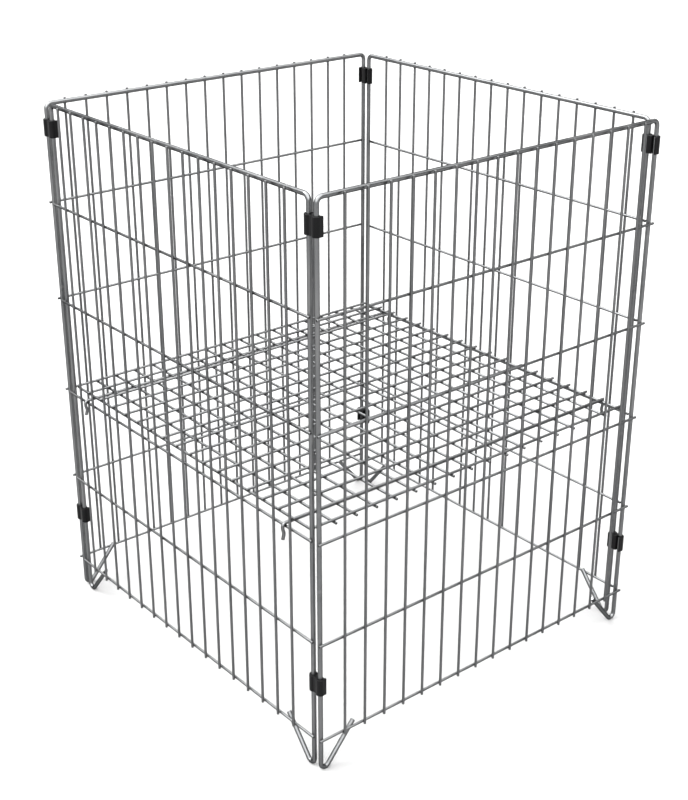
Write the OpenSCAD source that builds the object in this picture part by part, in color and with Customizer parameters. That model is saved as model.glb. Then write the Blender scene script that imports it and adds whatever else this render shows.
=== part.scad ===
// Square wire mesh bin: four identical welded panels held at the corners by
// push-on plastic clips, with a wire shelf hung on two opposite panels.
// Millimetres. +Z is up, the feet stand on z = 0 and the origin is the middle
// of the footprint. The front panel faces -Y and the right panel faces +X.

/* [Overall] */
// Overall height, from the floor to the top of the rim
height = 800; // [780:1:1000]
// Panel width between the centres of its two corner rods
panel_w = 594; // [450:1:620]
// Distance between the two rods that meet at a corner
rod_gap = 14; // [13:0.5:18]

/* [Panel frame rod] */
// Diameter of the frame rod
rod_d = 6.5; // [5:0.5:7]
// Centreline radius of the two bends at the top
top_bend_r = 8; // [7:0.5:14]
// Centreline radius of the bend at each foot
foot_bend_r = 7.25; // [6:0.25:10]
// Lean of the brace that rises from the foot, from the vertical
foot_lean = 40; // [30:1:50]
// Straight length of that brace
foot_len = 67; // [40:1:90]

/* [Panel mesh] */
// Diameter of the mesh wires
wire_d = 3.8; // [2.6:0.2:4]
// Number of upright wires in a panel
uprights = 16; // [8:1:20]
// Distance from the rim's centre down to the first cross wire
top_gap = 145.75; // [120:0.25:160]
// Distance between cross wires
level_pitch = 150; // [120:1:150]
// Length of a cross wire past the centre of the corner rod
cross_over = 5; // [4:0.5:7]
// Length of an upright below the centre of the lowest cross wire
upright_tail = 3; // [2.5:0.5:6]
// Depth that two welded wires sink into each other
weld = 0.3; // [0.05:0.05:0.4]

/* [Shelf] */
// Cross wire that the shelf hangs on, counted from the top
shelf_level = 3; // [2:1:4]
// Number of shelf wires each way
shelf_wires = 18; // [10:1:20]
// Distance of the outermost shelf wires in from the corner rods' centres
shelf_inset = 5.5; // [5.5:0.5:15]
// Length of the inner shelf wires past the outermost crossing
shelf_over = 5; // [3:0.5:6]
// Diameter of the two hooked bearer rods
bearer_d = 4.6; // [4:0.2:5.4]
// Distance of each bearer in from the corner rods' centres
bearer_inset = 49; // [44:1:100]
// Depth of the hooks' tails below the bearer's centre
hook_drop = 23; // [12:1:40]

/* [Clips] */
// Height of a clip
clip_h = 25; // [15:1:35]
// Outer radius of each round socket
clip_r = 6; // [5.6:0.1:6.4]
// Clearance between a rod and the bore of its socket, on the radius
clip_slack = 0.05; // [0.01:0.01:0.1]
// Width of a socket's open mouth
clip_mouth = 4.8; // [4:0.1:5.4]
// Reach of the clip's jaws from the rods' centre line
clip_jaw = 6; // [6:0.1:6.4]
// Distance from the rim's centre down to the middle of an upper clip
clip_top_drop = 34; // [28:1:60]
// Height of the middle of a lower clip
clip_low_z = 136; // [100:1:180]

/* [Hidden] */
$fn = 40;

rod_r = rod_d / 2;
wire_r = wire_d / 2;
bearer_r = bearer_d / 2;
clip_bore_r = rod_r + clip_slack;
half_w = panel_w / 2;
// planes of the front and rear panels, and of the two side panels
plane_y = half_w;
plane_x = half_w + rod_gap;
rim_z = height - rod_r;
// offsets from the frame rod's plane, outwards
cross_off = rod_r + wire_r - weld;
upright_off = cross_off + wire_d - weld;
function level_z(k) = rim_z - top_gap - level_pitch * (k - 1);
upright_pitch = panel_w / (uprights + 1);
// shelf heights: bearers rest on the panel's cross wires
rest_gap = 0.05;
bearer_z = level_z(shelf_level) + wire_r + bearer_r + rest_gap;
shelf_x_z = bearer_z + bearer_r + wire_r - weld;
shelf_y_z = shelf_x_z + wire_d - weld;
shelf_half = half_w - shelf_inset;
shelf_span = 2 * shelf_half;
bearer_x = half_w - bearer_inset;
shelf_pitch = shelf_span / (shelf_wires - 1);
hook_bend_r = wire_r + bearer_r + 0.3;
hook_y = plane_y + cross_off + hook_bend_r;

// ---- round wire ------------------------------------------------------------
module bar_x(x0, x1, y, z, r) {
    translate([x0, y, z]) rotate([0, 90, 0]) cylinder(r = r, h = x1 - x0);
}

module bar_y(y0, y1, x, z, r) {
    translate([x, y0, z]) rotate([-90, 0, 0]) cylinder(r = r, h = y1 - y0);
}

module bar_z(x, y, z0, z1, r) {
    translate([x, y, z0]) cylinder(r = r, h = z1 - z0);
}

// Bend in the XZ plane about [x, z]: from the angle a, anticlockwise through t.
module bend(x, z, b, r, a, t) {
    translate([x, 0, z])
        rotate([90, 0, 0])
            rotate([0, 0, a])
                rotate_extrude(angle = t, $fn = 96)
                    translate([b, 0]) circle(r = r, $fn = 40);
}

module both_ends() {
    children();
    mirror([1, 0, 0]) children();
}

// ---- one panel, in the plane y = 0 with its outside towards -Y -----------
// One rod makes the rim, both legs and both feet. Each foot turns up into a
// brace that leans back past the lowest cross wire.
module frame_rod() {
    foot_x = -half_w + foot_bend_r;
    foot_z = rod_r + foot_bend_r;
    lap = 0.2;
    color([0.66, 0.67, 0.68])
        union() {
            bar_x(-half_w + top_bend_r, half_w - top_bend_r, 0, rim_z, rod_r);
            both_ends() {
                bend(-half_w + top_bend_r, rim_z - top_bend_r, top_bend_r, rod_r, 90, 90);
                bar_z(-half_w, 0, foot_z, rim_z - top_bend_r, rod_r);
                bend(foot_x, foot_z, foot_bend_r, rod_r, 180, 180 - foot_lean);
                translate([foot_x, 0, foot_z])
                    rotate([90, 0, 0])
                        rotate([0, 0, -foot_lean])
                            translate([foot_bend_r, -lap, 0])
                                rotate([-90, 0, 0])
                                    cylinder(r = rod_r - 0.02, h = foot_len + lap);
            }
        }
}

// Uprights run on the outside of the cross wires, from just below the lowest
// one to the height of the rim.
module upright_wires() {
    color([0.63, 0.64, 0.65])
        for (i = [1 : uprights])
            bar_z(-half_w + i * upright_pitch, -upright_off,
                  level_z(5) - upright_tail, height, wire_r);
}

module cross_wires() {
    color([0.63, 0.64, 0.65])
        for (k = [1 : 5])
            bar_x(-half_w - cross_over, half_w + cross_over, -cross_off, level_z(k), wire_r);
}

module at_front() { translate([0, -plane_y, 0]) children(); }
module at_right() { translate([plane_x, 0, 0]) rotate([0, 0, 90]) children(); }
module at_rear() { translate([0, plane_y, 0]) rotate([0, 0, 180]) children(); }
module at_left() { translate([-plane_x, 0, 0]) rotate([0, 0, -90]) children(); }

module front_frame_rod() { at_front() frame_rod(); }
module front_upright_wires() { at_front() upright_wires(); }
module front_cross_wires() { at_front() cross_wires(); }
module right_frame_rod() { at_right() frame_rod(); }
module right_upright_wires() { at_right() upright_wires(); }
module right_cross_wires() { at_right() cross_wires(); }
module rear_frame_rod() { at_rear() frame_rod(); }
module rear_upright_wires() { at_rear() upright_wires(); }
module rear_cross_wires() { at_rear() cross_wires(); }
module left_frame_rod() { at_left() frame_rod(); }
module left_upright_wires() { at_left() upright_wires(); }
module left_cross_wires() { at_left() cross_wires(); }

// ---- clip: two round sockets side by side, mouths towards +Y --------------
module clip_profile() {
    c = rod_gap / 2;
    difference() {
        union() {
            for (s = [-1, 1]) translate([s * c, 0]) circle(r = clip_r);
            translate([-c - clip_r + 0.35, 0])
                square([2 * (c + clip_r - 0.35), clip_jaw]);
            translate([-c, -clip_r + 2]) square([2 * c, clip_r]);
        }
        for (s = [-1, 1])
            translate([s * c, 0]) {
                circle(r = clip_bore_r);
                polygon([[-clip_mouth / 2, 0], [clip_mouth / 2, 0],
                         [clip_mouth / 2, clip_jaw - 1.6], [clip_mouth / 2 + 0.8, clip_jaw + 0.5],
                         [-clip_mouth / 2 - 0.8, clip_jaw + 0.5], [-clip_mouth / 2, clip_jaw - 1.6]]);
            }
    }
}

// sx, sy: corner signs; z: height of the clip's middle
module clip(sx, sy, z) {
    color([0.11, 0.11, 0.12])
        translate([sx * (half_w + rod_gap / 2), sy * plane_y, z - clip_h / 2])
            rotate([0, 0, sy > 0 ? 180 : 0])
                linear_extrude(height = clip_h) clip_profile();
}

clip_up_z = rim_z - clip_top_drop;
module clip_front_left_upper() { clip(-1, -1, clip_up_z); }
module clip_front_left_lower() { clip(-1, -1, clip_low_z); }
module clip_front_right_upper() { clip(1, -1, clip_up_z); }
module clip_front_right_lower() { clip(1, -1, clip_low_z); }
module clip_rear_right_upper() { clip(1, 1, clip_up_z); }
module clip_rear_right_lower() { clip(1, 1, clip_low_z); }
module clip_rear_left_upper() { clip(-1, 1, clip_up_z); }
module clip_rear_left_lower() { clip(-1, 1, clip_low_z); }

// ---- shelf ---------------------------------------------------------------
// Bearer: runs front to back over both cross wires and hooks down outside them.
module bearer(x) {
    color([0.63, 0.64, 0.65])
        translate([x, 0, 0])
            rotate([0, 0, 90])
                union() {
                    bar_x(-hook_y + hook_bend_r, hook_y - hook_bend_r, 0, bearer_z, bearer_r);
                    both_ends() {
                        bend(-hook_y + hook_bend_r, bearer_z - hook_bend_r, hook_bend_r, bearer_r, 90, 90);
                        bar_z(-hook_y, 0, bearer_z - hook_drop, bearer_z - hook_bend_r, bearer_r);
                    }
                }
}
module shelf_bearer_left() { bearer(-bearer_x); }
module shelf_bearer_right() { bearer(bearer_x); }

// The outermost wires stop short, so that they clear the corner rods.
function shelf_end(i) =
    shelf_half + ((i == 0 || i == shelf_wires - 1) ? wire_r : shelf_over);

module shelf_cross_wires() {
    color([0.63, 0.64, 0.65])
        for (i = [0 : shelf_wires - 1])
            bar_x(-shelf_end(i), shelf_end(i), -shelf_half + i * shelf_pitch, shelf_x_z, wire_r);
}

module shelf_long_wires() {
    color([0.63, 0.64, 0.65])
        for (i = [0 : shelf_wires - 1])
            bar_y(-shelf_end(i), shelf_end(i), -shelf_half + i * shelf_pitch, shelf_y_z, wire_r);
}

front_frame_rod();
front_upright_wires();
front_cross_wires();
right_frame_rod();
right_upright_wires();
right_cross_wires();
rear_frame_rod();
rear_upright_wires();
rear_cross_wires();
left_frame_rod();
left_upright_wires();
left_cross_wires();
clip_front_left_upper();
clip_front_left_lower();
clip_front_right_upper();
clip_front_right_lower();
clip_rear_right_upper();
clip_rear_right_lower();
clip_rear_left_upper();
clip_rear_left_lower();
shelf_bearer_left();
shelf_bearer_right();
shelf_cross_wires();
shelf_long_wires();
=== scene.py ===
import bpy, bmesh, math, random
from mathutils import Matrix, Vector


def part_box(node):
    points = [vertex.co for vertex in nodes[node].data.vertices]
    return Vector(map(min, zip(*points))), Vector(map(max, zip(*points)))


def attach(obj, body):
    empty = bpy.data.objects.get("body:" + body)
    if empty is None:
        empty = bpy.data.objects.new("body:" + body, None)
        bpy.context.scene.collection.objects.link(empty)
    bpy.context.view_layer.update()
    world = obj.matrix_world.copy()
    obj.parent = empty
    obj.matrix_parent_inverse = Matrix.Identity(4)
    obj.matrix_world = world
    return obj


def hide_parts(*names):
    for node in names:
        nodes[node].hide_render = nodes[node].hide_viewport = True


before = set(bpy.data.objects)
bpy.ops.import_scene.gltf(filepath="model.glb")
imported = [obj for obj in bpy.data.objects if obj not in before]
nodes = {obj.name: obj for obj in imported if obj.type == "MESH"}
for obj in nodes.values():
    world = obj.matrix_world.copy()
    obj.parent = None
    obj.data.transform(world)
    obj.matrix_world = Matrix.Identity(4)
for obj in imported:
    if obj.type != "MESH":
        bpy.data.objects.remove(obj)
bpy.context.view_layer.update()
MM = 0.001

# ---------------------------------------------------------------- node helpers


def new_material(name):
    m = bpy.data.materials.new(name)
    m.use_nodes = True
    nt = m.node_tree
    nt.nodes.clear()
    out = nt.nodes.new("ShaderNodeOutputMaterial")
    bs = nt.nodes.new("ShaderNodeBsdfPrincipled")
    nt.links.new(bs.outputs["BSDF"], out.inputs["Surface"])
    return m, nt, bs


def noise(nt, vec, scale, detail=3.0, rough=0.55, dist=0.0):
    n = nt.nodes.new("ShaderNodeTexNoise")
    n.inputs["Scale"].default_value = scale
    n.inputs["Detail"].default_value = detail
    n.inputs["Roughness"].default_value = rough
    n.inputs["Distortion"].default_value = dist
    nt.links.new(vec, n.inputs["Vector"])
    return n.outputs["Fac"]


def ramp(nt, fac, stops):
    r = nt.nodes.new("ShaderNodeValToRGB")
    els = r.color_ramp.elements
    while len(els) < len(stops):
        els.new(0.5)
    for e, (pos, col) in zip(els, stops):
        e.position = pos
        e.color = col if len(col) == 4 else (*col, 1.0)
    nt.links.new(fac, r.inputs["Fac"])
    return r.outputs["Color"]


def grey(v, tint=0.0):
    return (v * (1 - tint), v, v * (1 + tint), 1.0)


def mix(nt, fac, a, b, mode="MIX"):
    m = nt.nodes.new("ShaderNodeMix")
    m.data_type = "RGBA"
    m.blend_type = mode
    for sock, v in ((m.inputs[0], fac), (m.inputs[6], a), (m.inputs[7], b)):
        if isinstance(v, (int, float)):
            sock.default_value = v
        elif isinstance(v, tuple):
            sock.default_value = v
        else:
            nt.links.new(v, sock)
    return m.outputs[2]


def maths(nt, op, a, b=None, c=None):
    m = nt.nodes.new("ShaderNodeMath")
    m.operation = op
    for i, v in enumerate((a, b, c)):
        if v is None:
            continue
        if isinstance(v, (int, float)):
            m.inputs[i].default_value = v
        else:
            nt.links.new(v, m.inputs[i])
    return m.outputs[0]


def scaled(nt, vec, s):
    m = nt.nodes.new("ShaderNodeMapping")
    m.inputs["Scale"].default_value = s
    nt.links.new(vec, m.inputs["Vector"])
    return m.outputs["Vector"]


def map_range(nt, v, a, b, c, d):
    m = nt.nodes.new("ShaderNodeMapRange")
    for i, x in zip((1, 2, 3, 4), (a, b, c, d)):
        m.inputs[i].default_value = x
    nt.links.new(v, m.inputs[0])
    return m.outputs[0]


def bump(nt, h, strength, dist, normal=None):
    b = nt.nodes.new("ShaderNodeBump")
    b.inputs["Strength"].default_value = strength
    b.inputs["Distance"].default_value = dist
    nt.links.new(h, b.inputs["Height"])
    if normal is not None:
        nt.links.new(normal, b.inputs["Normal"])
    return b.outputs["Normal"]


# Bright zinc on drawn steel wire. axis is the wire's direction: the die marks
# run along it, and the sheared ends, which face along it, are bare steel.
def zinc(name, base, rough, axis=None, tint=0.02, ends=True):
    m, nt, bs = new_material(name)
    tc = nt.nodes.new("ShaderNodeTexCoord")
    obj = tc.outputs["Object"]
    cloud = noise(nt, obj, 14.0, 2.0)
    grain = noise(nt, obj, 1500.0, 3.0, 0.6)
    col = ramp(nt, cloud, [(0.32, grey(base * 0.84, tint)), (0.5, grey(base, tint)),
                           (0.70, grey(base * 1.16, tint * 0.4))])
    col = mix(nt, 0.20, col, ramp(nt, grain, [(0.34, grey(base * 0.55, tint)), (0.52, grey(base, tint)),
                                              (0.68, grey(min(base * 1.5, 0.9), 0))]))
    # dull, whitish passivation spots
    spots = noise(nt, obj, 95.0, 2.0, 0.5, 0.4)
    spot = map_range(nt, spots, 0.63, 0.72, 0.0, 1.0)
    col = mix(nt, maths(nt, "MULTIPLY", spot, 0.35), col, grey(base * 1.35, 0.0))
    r = map_range(nt, cloud, 0.3, 0.7, rough - 0.05, rough + 0.06)
    r = maths(nt, "ADD", r, map_range(nt, grain, 0.35, 0.65, -0.04, 0.05))
    r = maths(nt, "ADD", r, maths(nt, "MULTIPLY", spot, 0.12))
    n = bump(nt, grain, 0.10, 0.00005)
    if axis is not None:
        s = [1700.0, 1700.0, 1700.0]
        s[axis] = 9.0
        drawn = noise(nt, scaled(nt, obj, tuple(s)), 1.0, 2.0, 0.6)
        col = mix(nt, 0.12, col, ramp(nt, drawn, [(0.36, grey(base * 0.62, tint)), (0.64, grey(base * 1.3, 0))]))
        r = maths(nt, "ADD", r, map_range(nt, drawn, 0.35, 0.65, -0.03, 0.05))
        n = bump(nt, drawn, 0.10, 0.00005, n)
        if ends:
            sep = nt.nodes.new("ShaderNodeSeparateXYZ")
            nt.links.new(tc.outputs["Normal"], sep.inputs[0])
            end = maths(nt, "GREATER_THAN", maths(nt, "ABSOLUTE", sep.outputs[axis]), 0.92)
            col = mix(nt, end, col, ramp(nt, grain, [(0.35, grey(0.025)), (0.65, grey(0.07))]))
            r = maths(nt, "MAXIMUM", r, maths(nt, "MULTIPLY", end, 0.6))
    nt.links.new(col, bs.inputs["Base Color"])
    nt.links.new(r, bs.inputs["Roughness"])
    nt.links.new(n, bs.inputs["Normal"])
    bs.inputs["Metallic"].default_value = 1.0
    bs.inputs["Specular Tint"].default_value = (0.0, 0.0, 0.0, 1.0)
    return m


def weld_metal(name):
    m, nt, bs = new_material(name)
    obj = nt.nodes.new("ShaderNodeTexCoord").outputs["Object"]
    burn = noise(nt, obj, 260.0, 3.0)
    fine = noise(nt, obj, 1500.0, 3.0)
    col = ramp(nt, burn, [(0.35, (0.030, 0.028, 0.027)), (0.52, (0.065, 0.062, 0.060)), (0.68, (0.12, 0.12, 0.12))])
    nt.links.new(col, bs.inputs["Base Color"])
    nt.links.new(map_range(nt, fine, 0.35, 0.65, 0.45, 0.68), bs.inputs["Roughness"])
    nt.links.new(bump(nt, fine, 0.4, 0.0002), bs.inputs["Normal"])
    bs.inputs["Metallic"].default_value = 0.9
    return m


# Black moulded nylon: fine spark-eroded grain, a little dust grey and scuffs.
def nylon(name):
    m, nt, bs = new_material(name)
    obj = nt.nodes.new("ShaderNodeTexCoord").outputs["Object"]
    grain = noise(nt, obj, 2600.0, 3.0, 0.6)
    flow = noise(nt, scaled(nt, obj, (60.0, 60.0, 14.0)), 1.0, 3.0)
    scuff = noise(nt, scaled(nt, obj, (240.0, 240.0, 900.0)), 1.0, 5.0, 0.7, 0.8)
    mask = map_range(nt, scuff, 0.62, 0.74, 0.0, 1.0)
    col = ramp(nt, flow, [(0.3, (0.0016, 0.0016, 0.0018)), (0.7, (0.0030, 0.0030, 0.0033))])
    col = mix(nt, maths(nt, "MULTIPLY", mask, 0.5), col, (0.010, 0.010, 0.0104, 1.0))
    r = map_range(nt, flow, 0.3, 0.7, 0.34, 0.44)
    r = maths(nt, "ADD", r, maths(nt, "MULTIPLY", mask, 0.18))
    nt.links.new(col, bs.inputs["Base Color"])
    nt.links.new(r, bs.inputs["Roughness"])
    n = bump(nt, grain, 0.35, 0.00006)
    nt.links.new(n, bs.inputs["Normal"])
    bs.inputs["Specular IOR Level"].default_value = 0.10
    return m


BASE = 0.132
mats = {
    # the frame rod's zinc is painted 10% lighter than the wires' zinc as painted light, to brighten the highlight along
    # the rims
    "rod": zinc("zinc_frame_rod", BASE * 1.10, 0.31),
    "x": zinc("zinc_wire_x", BASE, 0.31, 0),
    "y": zinc("zinc_wire_y", BASE, 0.31, 1),
    "z": zinc("zinc_wire_z", BASE * 0.95, 0.32, 2),
    "weld": weld_metal("weld_burn"),
    "clip": nylon("nylon_black"),
}


def paint(obj, mat):
    slots = obj.material_slots
    if not len(slots):
        obj.data.materials.append(mat)
    for s in obj.material_slots:
        s.link = "OBJECT"
        s.material = mat


SIDES = ("front", "right", "rear", "left")


def make_object(name, bm, mat, body, smooth=35):
    me = bpy.data.meshes.new(name)
    bm.to_mesh(me)
    bm.free()
    ob = bpy.data.objects.new(name, me)
    bpy.context.scene.collection.objects.link(ob)
    ob.data.materials.append(mat)
    for p in me.polygons:
        p.use_smooth = True
    me.set_sharp_from_angle(angle=math.radians(smooth))
    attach(ob, body)
    return ob


def lo_hi(node):
    a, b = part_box(node)
    return Vector(a), Vector(b)


# ---------------------------------------------------------------------- wires
def frame_at(t, ref):
    u = ref - t * ref.dot(t)
    u.normalize()
    return u, t.cross(u)


def sweep(bm, path, r, seg=24, chamfer=0.0003, ref=None):
    """A round wire along a path of points, with both ends sheared and slightly broken at the edge."""
    pts = [Vector(p) for p in path]
    tang = []
    for i in range(len(pts)):
        a, b = pts[max(i - 1, 0)], pts[min(i + 1, len(pts) - 1)]
        tang.append((b - a).normalized())
    if ref is None:
        ref = Vector((0, 0, 1)) if abs(tang[0].z) < 0.8 else Vector((1, 0, 0))
    rings = []
    d0, d1 = (pts[1] - pts[0]).normalized(), (pts[-1] - pts[-2]).normalized()
    stops = [(pts[0], d0, r - chamfer), (pts[0] + d0 * chamfer, d0, r)]
    stops += [(p, t, r) for p, t in zip(pts[1:-1], tang[1:-1])]
    stops += [(pts[-1] - d1 * chamfer, d1, r), (pts[-1], d1, r - chamfer)]
    u = None
    for p, t, rr in stops:
        u = (ref - t * ref.dot(t)) if u is None else (u - t * u.dot(t))
        u.normalize()
        w = t.cross(u)
        rings.append([bm.verts.new(p + (u * math.cos(2 * math.pi * k / seg) + w * math.sin(2 * math.pi * k / seg)) * rr)
                      for k in range(seg)])
    for a, b in zip(rings[:-1], rings[1:]):
        for k in range(seg):
            j = (k + 1) % seg
            bm.faces.new((a[k], a[j], b[j], b[k]))
    for ring, p, d in ((rings[0], pts[0], -1), (rings[-1], pts[-1], 1)):
        c = bm.verts.new(p)
        for k in range(seg):
            j = (k + 1) % seg
            f = (ring[j], ring[k], c) if d < 0 else (ring[k], ring[j], c)
            bm.faces.new(f)


def arc_points(centre, r, a0, a1, n):
    return [(centre[0] + r * math.cos(math.radians(a0 + (a1 - a0) * i / n)),
             centre[1] + r * math.sin(math.radians(a0 + (a1 - a0) * i / n))) for i in range(n + 1)]


def split(p, q, n):
    return [(p[0] + (q[0] - p[0]) * i / n, p[1] + (q[1] - p[1]) * i / n) for i in range(1, n)]


FOOT_R, TOP_R, LEAN, FOOT_LEN = 7.25 * MM, 8.0 * MM, 40.0, 67.0 * MM


def frame_rod(side):
    """Rim, legs and feet of one panel, as one bent rod."""
    node = side + "_frame_rod"
    lo, hi = lo_hi(node)
    ax = 1 if side in ("front", "rear") else 0
    al = 1 - ax
    r = (hi[ax] - lo[ax]) / 2
    mid = (hi[ax] + lo[ax]) / 2
    half = (hi[al] - lo[al]) / 2 - r
    fc = (half - FOOT_R, r + FOOT_R)
    tc = (half - TOP_R, hi.z - r - TOP_R)
    foot = arc_points(fc, FOOT_R, -180 + LEAN, 0, 22)
    d = (-math.sin(math.radians(LEAN)), math.cos(math.radians(LEAN)))
    tip = (foot[0][0] + d[0] * FOOT_LEN, foot[0][1] + d[1] * FOOT_LEN)
    one = [tip] + split(tip, foot[0], 5) + foot
    top = arc_points(tc, TOP_R, 0, 90, 16)
    one += split(foot[-1], top[0], 30) + top
    other = [(-x, z) for x, z in reversed(one)]
    flat = one + split(one[-1], other[0], 24) + other
    path = []
    for a, z in flat:
        p = [0.0, 0.0, z]
        p[al], p[ax] = a, mid
        path.append(p)
    ref = Vector((0, 0, 0))
    ref[ax] = 1.0
    bm = bmesh.new()
    sweep(bm, path, r, 28, 0.0004, ref)
    ob = make_object(side + "_bent_frame_rod", bm, mats["rod"], side + "_panel", 40)
    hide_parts(node)
    return ob


def straight_wires(node, name, axis, mat, body):
    bm = bmesh.new()
    for lo, hi in islands(node):
        c = (lo + hi) / 2
        others = [i for i in range(3) if i != axis]
        r = (hi[others[0]] - lo[others[0]]) / 2
        n = max(2, int((hi[axis] - lo[axis]) / 0.03))
        path = []
        for i in range(n + 1):
            p = c.copy()
            p[axis] = lo[axis] + (hi[axis] - lo[axis]) * i / n
            path.append(p)
        sweep(bm, path, r, 20, 0.0003)
    ob = make_object(name, bm, mats[mat], body, 40)
    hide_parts(node)
    return ob


HOOK_R = 4.5 * MM


def bearer(node, name):
    lo, hi = lo_hi(node)
    r = (hi.x - lo.x) / 2
    x, z, y = (hi.x + lo.x) / 2, hi.z - r, hi.y - r
    top = z - HOOK_R
    tail = []
    for i in range(15):
        t = i / 14                                      # 0 at the tip, 1 at the bend
        tail.append((y - 1.7 * MM * math.sin(math.pi * min(t / 0.86, 1.0)) ** 2, lo.z + (top - lo.z) * t))
    one = tail[:-1] + arc_points((y - HOOK_R, z - HOOK_R), HOOK_R, 0, 90, 14)
    other = [(-a, b) for a, b in reversed(one)]
    flat = one + split(one[-1], other[0], 24) + other
    bm = bmesh.new()
    sweep(bm, [(x, a, b) for a, b in flat], r, 24, 0.00035, Vector((1, 0, 0)))
    ob = make_object(name, bm, mats["y"], "shelf", 40)
    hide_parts(node)
    return ob


# ---------------------------------------------------------------------- clips
GAP = 14.0
RC, RB, MOUTH, JAW = 6.0, 3.3, 2.4, 6.0


def arc(cx, cy, r, a0, a1, n):
    return [(cx + r * math.cos(math.radians(a0 + (a1 - a0) * i / n)),
             cy + r * math.sin(math.radians(a0 + (a1 - a0) * i / n))) for i in range(n + 1)]


def clip_outline():
    """The clip's section, anticlockwise, with its mouths towards +Y, in mm."""
    c = GAP / 2
    bx = c + RC - 0.35
    ya = math.sqrt(RC ** 2 - (bx - c) ** 2)
    web = RC - 2.0
    xa = math.sqrt(RC ** 2 - web ** 2)
    side = math.degrees(math.atan2(ya, bx - c))
    low = math.degrees(math.atan2(-web, xa))
    up = math.degrees(math.acos(MOUTH / RB))
    flare = MOUTH + 0.8 * 1.6 / 2.1
    p = []
    p += arc(-c, 0, RC, 180 - side, 360 + low, 34)              # left barrel, round the outside
    p += arc(c, 0, RC, 180 - low, 360 + side, 34)               # right barrel
    p += [(bx, JAW)]
    for s in (c, -c):
        p += [(s + flare, JAW), (s + MOUTH, JAW - 1.6)]
        p += arc(s, 0, RB, up, -180 - up, 40)
        p += [(s - MOUTH, JAW - 1.6), (s - flare, JAW)]
    p += [(-bx, JAW)]
    return p


def rounded(points, r, min_turn=25.0, n=4):
    """Rounds the corners of a closed outline that turn by more than min_turn degrees."""
    out, k = [], len(points)
    for i in range(k):
        a, b, c = (Vector(points[(i + j) % k]) for j in (-1, 0, 1))
        u, v = (b - a), (c - b)
        turn = math.degrees(u.angle(v))
        if turn < min_turn:
            out.append(tuple(b))
            continue
        t = min(r * math.tan(math.radians(turn) / 2), u.length * 0.45, v.length * 0.45)
        p0, p1 = b - u.normalized() * t, b + v.normalized() * t
        for j in range(n + 1):
            w = j / n
            out.append(tuple(p0 * (1 - w) ** 2 + b * 2 * w * (1 - w) + p1 * w ** 2))
    return out


def build_clip(node, body):
    lo, hi = lo_hi(node)
    rear = lo.y > 0
    cx = (lo.x + hi.x) / 2
    # the barrels' side is the outer side: RC from the rods' plane
    plane = hi.y - RC * MM if rear else lo.y + RC * MM
    bm = bmesh.new()
    outline = rounded(clip_outline(), 0.55)
    # layers: a small chamfer at both rims
    h = (hi.z - lo.z) / MM
    layers = [(0.0, 0.45), (0.45, 0.0), (h - 0.45, 0.0), (h, 0.45)]
    k = len(outline)
    normals = []
    for i in range(k):
        a, b, c = (Vector(outline[(i + j) % k]) for j in (-1, 0, 1))
        d = ((b - a).normalized() + (c - b).normalized())
        d = d.normalized() if d.length > 1e-6 else (b - a).normalized()
        normals.append(Vector((d.y, -d.x)))        # outward for an anticlockwise outline
    sgn = -1 if rear else 1
    rings = []
    for z, inset in layers:
        ring = []
        for (x, y), n in zip(outline, normals):
            px, py = x - n.x * inset * 0.8, y - n.y * inset * 0.8
            ring.append(bm.verts.new((cx + sgn * px * MM, plane + sgn * py * MM, lo.z + z * MM)))
        rings.append(ring)
    for a, b in zip(rings[:-1], rings[1:]):
        for i in range(k):
            j = (i + 1) % k
            bm.faces.new((a[i], a[j], b[j], b[i]))
    top = bm.faces.new(rings[-1])
    bottom = bm.faces.new(list(reversed(rings[0])))
    bmesh.ops.triangulate(bm, faces=[top, bottom])
    bmesh.ops.recalc_face_normals(bm, faces=bm.faces)
    ob = make_object(node + "_moulding", bm, mats["clip"], body, 32)
    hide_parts(node)
    return ob


for fb, body in (("front", "front_panel"), ("rear", "rear_panel")):
    for lr in ("left", "right"):
        for ul in ("upper", "lower"):
            build_clip(f"clip_{fb}_{lr}_{ul}", body)


# ---------------------------------------------------------------- weld nuggets
# Each crossing gets a small squashed bead where the two wires were pressed
# together hot. Wire centres are read from the CAD meshes.
def islands(node):
    """Boxes of the separate solids in a node, in metres."""
    me = nodes[node].data
    parent = list(range(len(me.vertices)))

    def root(i):
        while parent[i] != i:
            parent[i] = parent[parent[i]]
            i = parent[i]
        return i
    for e in me.edges:
        a, b = root(e.vertices[0]), root(e.vertices[1])
        if a != b:
            parent[a] = b
    # split normals can leave coincident vertices apart, so join by place too
    seen = {}
    for v in me.vertices:
        key = (round(v.co.x, 6), round(v.co.y, 6), round(v.co.z, 6))
        if key in seen:
            a, b = root(seen[key]), root(v.index)
            if a != b:
                parent[a] = b
        else:
            seen[key] = v.index
    boxes = {}
    for v in me.vertices:
        r = root(v.index)
        lo, hi = boxes.setdefault(r, (v.co.copy(), v.co.copy()))
        for i in range(3):
            lo[i] = min(lo[i], v.co[i])
            hi[i] = max(hi[i], v.co[i])
    return sorted(boxes.values(), key=lambda b: tuple(round(x, 5) for x in (*b[0], *b[1])))


for side in SIDES:
    along = 0 if side in ("front", "rear") else 1
    frame_rod(side)
    straight_wires(side + "_upright_wires", side + "_uprights", 2, "z", side + "_panel")
    straight_wires(side + "_cross_wires", side + "_cross", along, "xy"[along], side + "_panel")
straight_wires("shelf_cross_wires", "shelf_cross", 0, "x", "shelf")
straight_wires("shelf_long_wires", "shelf_long", 1, "y", "shelf")
bearer("shelf_bearer_left", "shelf_bearer_rod_left")
bearer("shelf_bearer_right", "shelf_bearer_rod_right")


def centre(b):
    return (b[0] + b[1]) / 2


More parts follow.
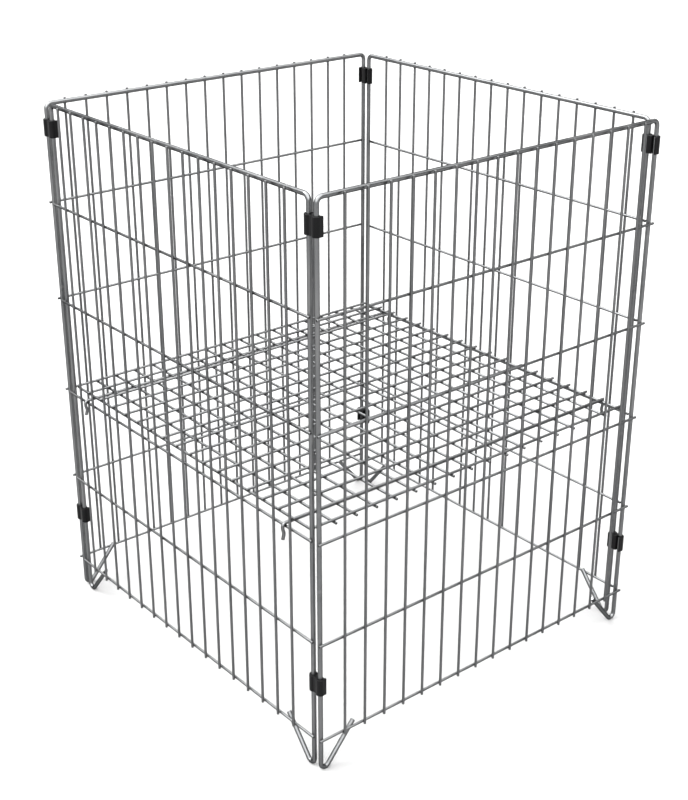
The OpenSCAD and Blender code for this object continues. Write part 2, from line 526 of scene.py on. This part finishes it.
def bead(bm, at, normal_axis, rn, rt, rng):
    """One bead at a point: thin along the contact's normal, a little uneven round it."""
    res = bmesh.ops.create_icosphere(bm, subdivisions=2, radius=1.0)
    t = [i for i in range(3) if i != normal_axis]
    s = [0.0, 0.0, 0.0]
    s[normal_axis] = rn * (0.9 + 0.2 * rng.random())
    s[t[0]] = rt * (0.88 + 0.24 * rng.random())
    s[t[1]] = rt * (0.88 + 0.24 * rng.random())
    for v in res["verts"]:
        w = 1.0 + 0.10 * (rng.random() - 0.5)
        v.co = Vector((at.x + v.co.x * s[0] * w, at.y + v.co.y * s[1] * w, at.z + v.co.z * s[2] * w))


def panel_beads(side, body, seed):
    rng = random.Random(seed)
    ax = 1 if side in ("front", "rear") else 0         # the panel's normal
    al = 1 - ax                                        # the cross wires' direction
    ups = islands(side + "_upright_wires")
    crs = islands(side + "_cross_wires")
    lo, hi = lo_hi(side + "_frame_rod")
    rr = (hi[ax] - lo[ax]) / 2                         # the frame rod's radius
    bm = bmesh.new()
    for c in crs:
        cc = centre(c)
        for u in ups:
            uc = centre(u)
            at = Vector((0, 0, cc.z))
            at[al] = uc[al]
            at[ax] = (uc[ax] + cc[ax]) / 2
            bead(bm, at, ax, 0.75 * MM, 1.6 * MM, rng)
        for edge in (lo[al] + rr, hi[al] - rr):
            at = Vector((0, 0, cc.z))
            at[al] = edge
            rod = (lo[ax] + hi[ax]) / 2
            at[ax] = rod + (rr if cc[ax] > rod else -rr)
            bead(bm, at, ax, 0.85 * MM, 1.9 * MM, rng)
    # the brace of each foot is welded to the lowest cross wire
    low = min(crs, key=lambda b: b[0].z)
    z = centre(low).z
    half = (hi[al] - lo[al]) / 2 - rr
    fx = half - FOOT_R - FOOT_R * math.cos(math.radians(LEAN))
    fz = rr + FOOT_R - FOOT_R * math.sin(math.radians(LEAN))
    bx = fx - (z - fz) * math.tan(math.radians(LEAN))
    for sg in (-1, 1):
        at = Vector((0, 0, z))
        at[al] = sg * bx
        rod = (lo[ax] + hi[ax]) / 2
        at[ax] = rod + (rr if centre(low)[ax] > rod else -rr)
        bead(bm, at, ax, 0.85 * MM, 2.0 * MM, rng)
    return make_object(side + "_weld_beads", bm, mats["weld"], body, 180)


for k, side in enumerate(SIDES):
    panel_beads(side, side + "_panel", 11 + k)


def shelf_beads():
    rng = random.Random(77)
    xs = islands("shelf_cross_wires")
    ys = islands("shelf_long_wires")
    bm = bmesh.new()
    for a in xs:
        for b in ys:
            ca, cb = centre(a), centre(b)
            bead(bm, Vector((cb.x, ca.y, (ca.z + cb.z) / 2)), 2, 0.75 * MM, 1.6 * MM, rng)
    for n in ("shelf_bearer_left", "shelf_bearer_right"):
        lo, hi = lo_hi(n)
        x, z = (lo.x + hi.x) / 2, hi.z
        for a in xs:
            bead(bm, Vector((x, centre(a).y, z)), 2, 0.8 * MM, 1.75 * MM, rng)
    return make_object("shelf_weld_beads", bm, mats["weld"], "shelf", 180)


shelf_beads()

# ------------------------------------------------------------- floor and light


def stage_floor():
    bm = bmesh.new()
    bmesh.ops.create_grid(bm, x_segments=2, y_segments=2, size=40.0)
    me = bpy.data.meshes.new("floor")
    bm.to_mesh(me)
    bm.free()
    ob = bpy.data.objects.new("floor", me)
    ob.location = (0, 0, -0.0002)
    bpy.context.scene.collection.objects.link(ob)
    m, nt, bs = new_material("floor_white")
    obj = nt.nodes.new("ShaderNodeTexCoord").outputs["Object"]
    f = noise(nt, obj, 3.0, 2.0)
    nt.links.new(ramp(nt, f, [(0.3, (0.250, 0.250, 0.250)), (0.7, (0.256, 0.256, 0.256))]), bs.inputs["Base Color"])
    bs.inputs["Roughness"].default_value = 0.9
    bs.inputs["Specular IOR Level"].default_value = 0.0
    me.materials.append(m)


stage_floor()
world = bpy.data.worlds.new("studio")
bpy.context.scene.world = world
world.use_nodes = True
wn = world.node_tree
wn.nodes.clear()
wo = wn.nodes.new("ShaderNodeOutputWorld")
bg = wn.nodes.new("ShaderNodeBackground")
bg.inputs["Color"].default_value = (1.0, 1.0, 1.0, 1.0)
bg.inputs["Strength"].default_value = 1.0
# two big soft panels, one overhead and one behind on the left, in a pale room that is
# much dimmer than they are, so that the zinc has dark and bright parts to reflect
direction = wn.nodes.new("ShaderNodeTexCoord").outputs["Generated"]


def panel(centre_of, start, full):
    dot = wn.nodes.new("ShaderNodeVectorMath")
    dot.operation = "DOT_PRODUCT"
    dot.inputs[1].default_value = Vector(centre_of).normalized()
    wn.links.new(direction, dot.inputs[0])
    level = wn.nodes.new("ShaderNodeMapRange")
    level.interpolation_type = "SMOOTHSTEP"
    for i, v in zip((1, 2, 3, 4), (start, full, 0.0, 1.0)):
        level.inputs[i].default_value = v
    wn.links.new(dot.outputs["Value"], level.inputs[0])
    return level.outputs[0]


both = maths(wn, "MAXIMUM", panel((0.2, -0.3, 0.933), 0.42, 0.64), panel((-0.45, 0.10, 0.887), 0.80, 0.92))
height = wn.nodes.new("ShaderNodeSeparateXYZ")
wn.links.new(direction, height.inputs[0])
room = map_range(wn, height.outputs[2], 0.0, 0.36, 1.15, 0.20)      # pale walls, darker upwards
wn.links.new(maths(wn, "MULTIPLY_ADD", both, 6.4, room), bg.inputs["Color"])
wn.links.new(bg.outputs[0], wo.inputs[0])



def soft(name, towards, energy, spread):
    """A distant softbox; towards points from the bin to the light."""
    la = bpy.data.lights.new(name, "SUN")
    la.energy = energy
    la.angle = math.radians(spread)
    ob = bpy.data.objects.new(name, la)
    ob.rotation_mode = "QUATERNION"
    ob.rotation_quaternion = (-Vector(towards)).normalized().to_track_quat("-Z", "Y")
    ob.location = Vector(towards).normalized() * 3
    bpy.context.scene.collection.objects.link(ob)


soft("key_left", (-0.55, -0.50, 1.0), 3.6, 28)

# ---------------------------------------------------------------------- camera
cam = bpy.data.cameras.new("camera")
co = bpy.data.objects.new("camera", cam)
bpy.context.scene.collection.objects.link(co)
cam.sensor_width = 36.0
cam.sensor_fit = "AUTO"
cam.lens = 1429.32 / 800 * 36.0
cam.shift_x = -0.000625
cam.shift_y = 0.002
cam.clip_start, cam.clip_end = 0.05, 200.0
co.location = (1.53452, -1.26280, 1.24392)
co.rotation_mode = "XYZ"
co.rotation_euler = (math.radians(90 - 24.1455), 0.0, math.radians(50.5497))
bpy.context.scene.camera = co
vs = bpy.context.scene.view_settings
vs.view_transform = "Standard"
vs.look = "None"
